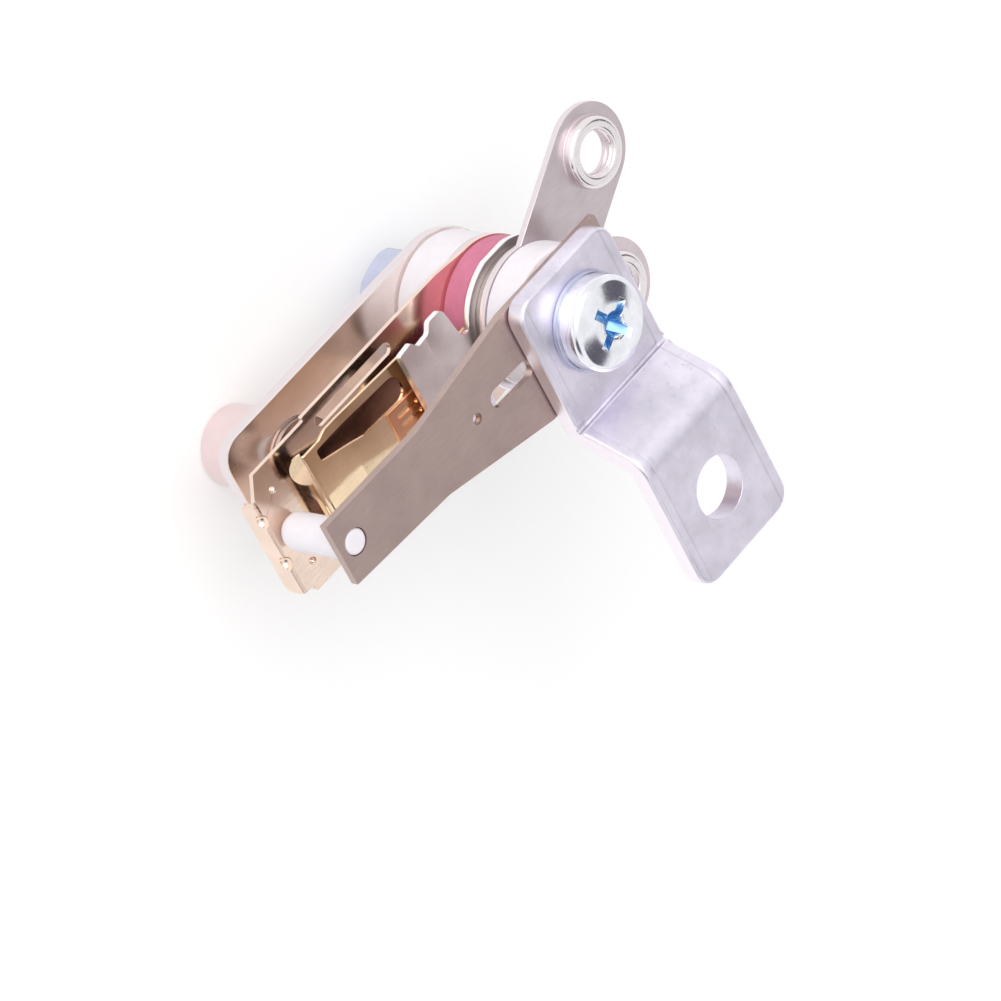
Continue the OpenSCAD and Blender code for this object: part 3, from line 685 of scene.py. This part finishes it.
# Painted light on the foot: a lighter tint on its cut sides, a bluish reflection on its slopes.
aluminium = foot_metal("stamped_aluminium", tint=rgb(0.79, 0.745, 0.85), side_highlight_tint=rgb(0.95, 0.89, 0.94),
                       slope_scuff_reflection_tint=rgb(0.50, 0.56, 0.72), gloss=0.38)
zinc = plating("zinc_plate", rgb(0.62, 0.65, 0.80), gloss=0.22)
screw_zinc = screw_metal("zinc_screw", rgb(0.86, 0.87, 0.92), recess_reflection_tint=rgb(0.26, 0.50, 0.78), gloss=0.10)
# The bimetal's lighter underside is painted light.
bimetal = sheet_metal("rolled_bimetal", rgb(0.50, 0.38, 0.352), gloss=0.36, grain=(0.35, 5, 5),
                      grain_depth=0.004, pits=0.2, painted_underside=rgb(0.64, 0.55, 0.53))
line_nickel = sheet_metal("satin_nickel_line", LUG_TINT, gloss=0.38, level=LINE_TOP, **SATIN)
load_nickel = sheet_metal("satin_nickel_load", shade(LUG_TINT, LOAD_LUG_PAINTED_LIGHT), gloss=0.38, level=LOAD_TOP,
                          **SATIN)
# Painted highlight on the holder's side faces.
holder_nickel = sheet_metal("bright_nickel", rgb(0.97, 0.91, 0.90), gloss=0.30, pits=0.04, spread=0.03,
                            painted_side_light=rgb(0.96, 0.93, 0.93))
# Painted darker, bluer tone on the frame's side faces.
frame_nickel = sheet_metal("polished_frame", rgb(0.91, 0.82, 0.78), gloss=0.13,
                           painted_side_light=rgb(0.80, 0.73, 0.75), **POLISHED)
# The arm's slightly lighter underside is painted light.
arm_nickel = sheet_metal("polished_arm", rgb(0.90, 0.72, 0.61), gloss=0.18,
                         painted_underside=rgb(0.92, 0.76, 0.64), **POLISHED)
# The leaf's dark underside is painted shade.
leaf_metal = sheet_metal("spring_leaf", rgb(0.95, 0.73, 0.50), gloss=0.09, grain=(0.25, 3, 3),
                         grain_depth=0.002, wave_depth=0.12, pits=0.03, spread=0.03,
                         painted_underside=rgb(0.30, 0.21, 0.19))
copper = sheet_metal("copper_leaf", rgb(0.86, 0.46, 0.28), gloss=0.20, grain=(0.4, 8, 8), pits=0.05)
# The bush and spindle above the frame plate get painted shade: dark brown, for the arm's shaded underside
# that they mirror.
bush_metal = plating("bush_plate", rgb(0.86, 0.72, 0.72), gloss=0.16, haze=0.03, cloudy=0.3,
                     painted_shade_above=rgb(0.40, 0.30, 0.27), level=FRAME_TOP)
silver = plating("contact_silver", rgb(0.86, 0.84, 0.80), gloss=0.24)
# Dark tint on the spacer washer: painted shade in the gap between the plates.
shaded_spacer_metal = sheet_metal("shaded_spacer_steel", rgb(0.30, 0.26, 0.25), gloss=0.34)
white_ceramic = ceramic("white_ceramic", rgb(0.93, 0.885, 0.93), low=rgb(0.90, 0.85, 0.895),
                        speck=rgb(0.62, 0.57, 0.57))
pink_ceramic = ceramic("pink_ceramic", rgb(0.72, 0.225, 0.35), low=rgb(0.66, 0.195, 0.31),
                       speck=rgb(0.45, 0.13, 0.20))

dress_foot(aluminium)
dress_screw(screw_zinc)
dress("head_washer", zinc, edge=0.10)
dress("nut_washer", zinc, edge=0.10)
dress("spring_washer", zinc, edge=0.08)
dress("clamp_nut", zinc, edge=0.08)
dress("bimetal_strip", bimetal, edge=0.06)
dress("push_pin", white_ceramic, edge=0.08)
dress("front_ring", white_ceramic, edge=0.10)
dress("middle_ring", pink_ceramic, edge=0.10)
dress("rear_ring", white_ceramic, edge=0.10)
dress("insulating_sleeve", white_ceramic, edge=0.05)
dress("line_terminal", line_nickel, edge=0.08)
dress("load_terminal", load_nickel, edge=0.08)
dress("spacer_washer", shaded_spacer_metal, edge=0.06)
dress("leaf_holder", holder_nickel, edge=0.06)
dress("backing_leaf", copper, edge=0.02, segments=1)
dress("contact_leaf", leaf_metal, edge=0.03, segments=1)
dress("moving_contact", silver, edge=0.05)
dress("fixed_contact", silver, edge=0.05)
dress("carrier_arm", arm_nickel, edge=0.04)
dress("frame_plate", frame_nickel, edge=0.10)
dress("spindle_bush", bush_metal, edge=0.08)
dress("adjusting_spindle", bush_metal, edge=0.08, body=SPINDLE)
dress("spindle_tip", white_ceramic, edge=0.08, body=SPINDLE)

lug_thread("line_lug_thread", mounts["line_lug"], line_nickel)
lug_thread("load_lug_thread", mounts["load_lug"], load_nickel)


def combined(tree, operation, first, second, clamp=False):
    """Two sockets' values, put together by an operation."""
    node = tree.nodes.new("ShaderNodeMath")
    node.operation = operation
    node.use_clamp = clamp
    tree.links.new(first, node.inputs[0])
    tree.links.new(second, node.inputs[1])
    return node.outputs[0]


def highest(tree, sockets):
    return functools.reduce(lambda a, b: combined(tree, "MAXIMUM", a, b), sockets)


def seen_rays(tree):
    """1 for the rays that show a surface or its mirror image, 0 for the rays that only carry light."""
    rays = tree.nodes.new("ShaderNodeLightPath").outputs
    return highest(tree, [rays[kind] for kind in SEEN_RAYS])


def flag_share(tree):
    """Share of the dark flags in each direction, from 0 to 1."""
    sky = tree.nodes.new("ShaderNodeTexCoord").outputs["Generated"]
    shares = []
    for towards, outside, inside in FLAGS:
        dot = tree.nodes.new("ShaderNodeVectorMath")
        dot.operation = "DOT_PRODUCT"
        dot.inputs[1].default_value = Vector(towards).normalized()
        tree.links.new(sky, dot.inputs[0])
        edge = tree.nodes.new("ShaderNodeMapRange")
        edge.interpolation_type = "SMOOTHSTEP"
        edge.inputs["From Min"].default_value = outside
        edge.inputs["From Max"].default_value = inside
        tree.links.new(dot.outputs["Value"], edge.inputs["Value"])
        shares.append(edge.outputs["Result"])
    return highest(tree, shares)


def white_studio():
    """World that is white to the eye, lower as light, with soft dark flags that only mirrors show."""
    world = bpy.data.worlds.new("studio")
    bpy.context.scene.world = world
    world.use_nodes = True
    tree = world.node_tree
    tree.nodes.clear()
    direct = tree.nodes.new("ShaderNodeLightPath").outputs["Is Camera Ray"]
    mirrored = combined(tree, "SUBTRACT", flag_share(tree), direct, clamp=True)
    tone = tree.nodes.new("ShaderNodeMix")
    tone.data_type = "RGBA"
    tone.inputs["A"].default_value = WHITE
    tone.inputs["B"].default_value = FLAG_TONE
    tree.links.new(mirrored, tone.inputs["Factor"])
    shown, lit = (tree.nodes.new("ShaderNodeBackground") for _ in range(2))
    shown.inputs["Strength"].default_value = 1.0
    lit.inputs["Strength"].default_value = WORLD_LIGHT
    choose = tree.nodes.new("ShaderNodeMixShader")
    out = tree.nodes.new("ShaderNodeOutputWorld")
    tree.links.new(tone.outputs["Result"], shown.inputs["Color"])
    tree.links.new(seen_rays(tree), choose.inputs["Fac"])
    tree.links.new(lit.outputs[0], choose.inputs[1])
    tree.links.new(shown.outputs[0], choose.inputs[2])
    tree.links.new(choose.outputs[0], out.inputs["Surface"])


def pale_floor(centre, z):
    """White paper under the part. It keeps the shadow, and is lifted to white for the eye."""
    half = FLOOR_SIZE / 2
    ways = ((-1, -1), (1, -1), (1, 1), (-1, 1))
    mesh = bpy.data.meshes.new("floor")
    mesh.from_pydata([(centre.x + x * half, centre.y + y * half, z) for x, y in ways], [], [(0, 1, 2, 3)])
    floor = bpy.data.objects.new("floor", mesh)
    bpy.context.scene.collection.objects.link(floor)
    f = Finish("floor_paper")
    lift = f.times(seen_rays(f.tree), PAPER_LIFT)
    mesh.materials.append(f.done(base_color=PAPER, roughness=PAPER_ROUGHNESS, specular_ior_level=PAPER_GLOSS,
                                 emission_color=WHITE, emission_strength=lift))


def key_lamp(target):
    """One large, soft lamp above the part."""
    lamp = bpy.data.lights.new("key", "AREA")
    lamp.shape = "DISK"
    lamp.size = KEY_SIZE
    lamp.energy = KEY_POWER
    holder = bpy.data.objects.new("key", lamp)
    direction = Vector(KEY_TOWARDS).normalized()
    holder.location = target + direction * KEY_DISTANCE
    holder.rotation_euler = direction.to_track_quat("Z", "Y").to_euler()
    bpy.context.scene.collection.objects.link(holder)


def photo_camera():
    """Camera at the photograph's place, with its angle of view."""
    data = bpy.data.cameras.new("camera")
    data.sensor_fit = "HORIZONTAL"
    data.sensor_width = SENSOR_MM
    data.lens = FOCAL_PIXELS / FRAME_PIXELS * SENSOR_MM
    data.clip_start = CLIP_NEAR
    data.clip_end = CLIP_FAR
    camera = bpy.data.objects.new("camera", data)
    back = CAMERA_RIGHT.cross(CAMERA_UP)
    turn = Matrix((CAMERA_RIGHT, CAMERA_UP, back)).transposed().to_4x4()
    camera.matrix_world = Matrix.Translation(CAMERA_AT) @ turn
    bpy.context.scene.collection.objects.link(camera)
    bpy.context.scene.camera = camera


low, high = (Vector(corner) for corner in cad_box)
middle = (low + high) / 2
white_studio()
pale_floor(middle, low.z)
key_lamp(middle)
photo_camera()
bpy.context.scene.view_settings.view_transform = "Standard"
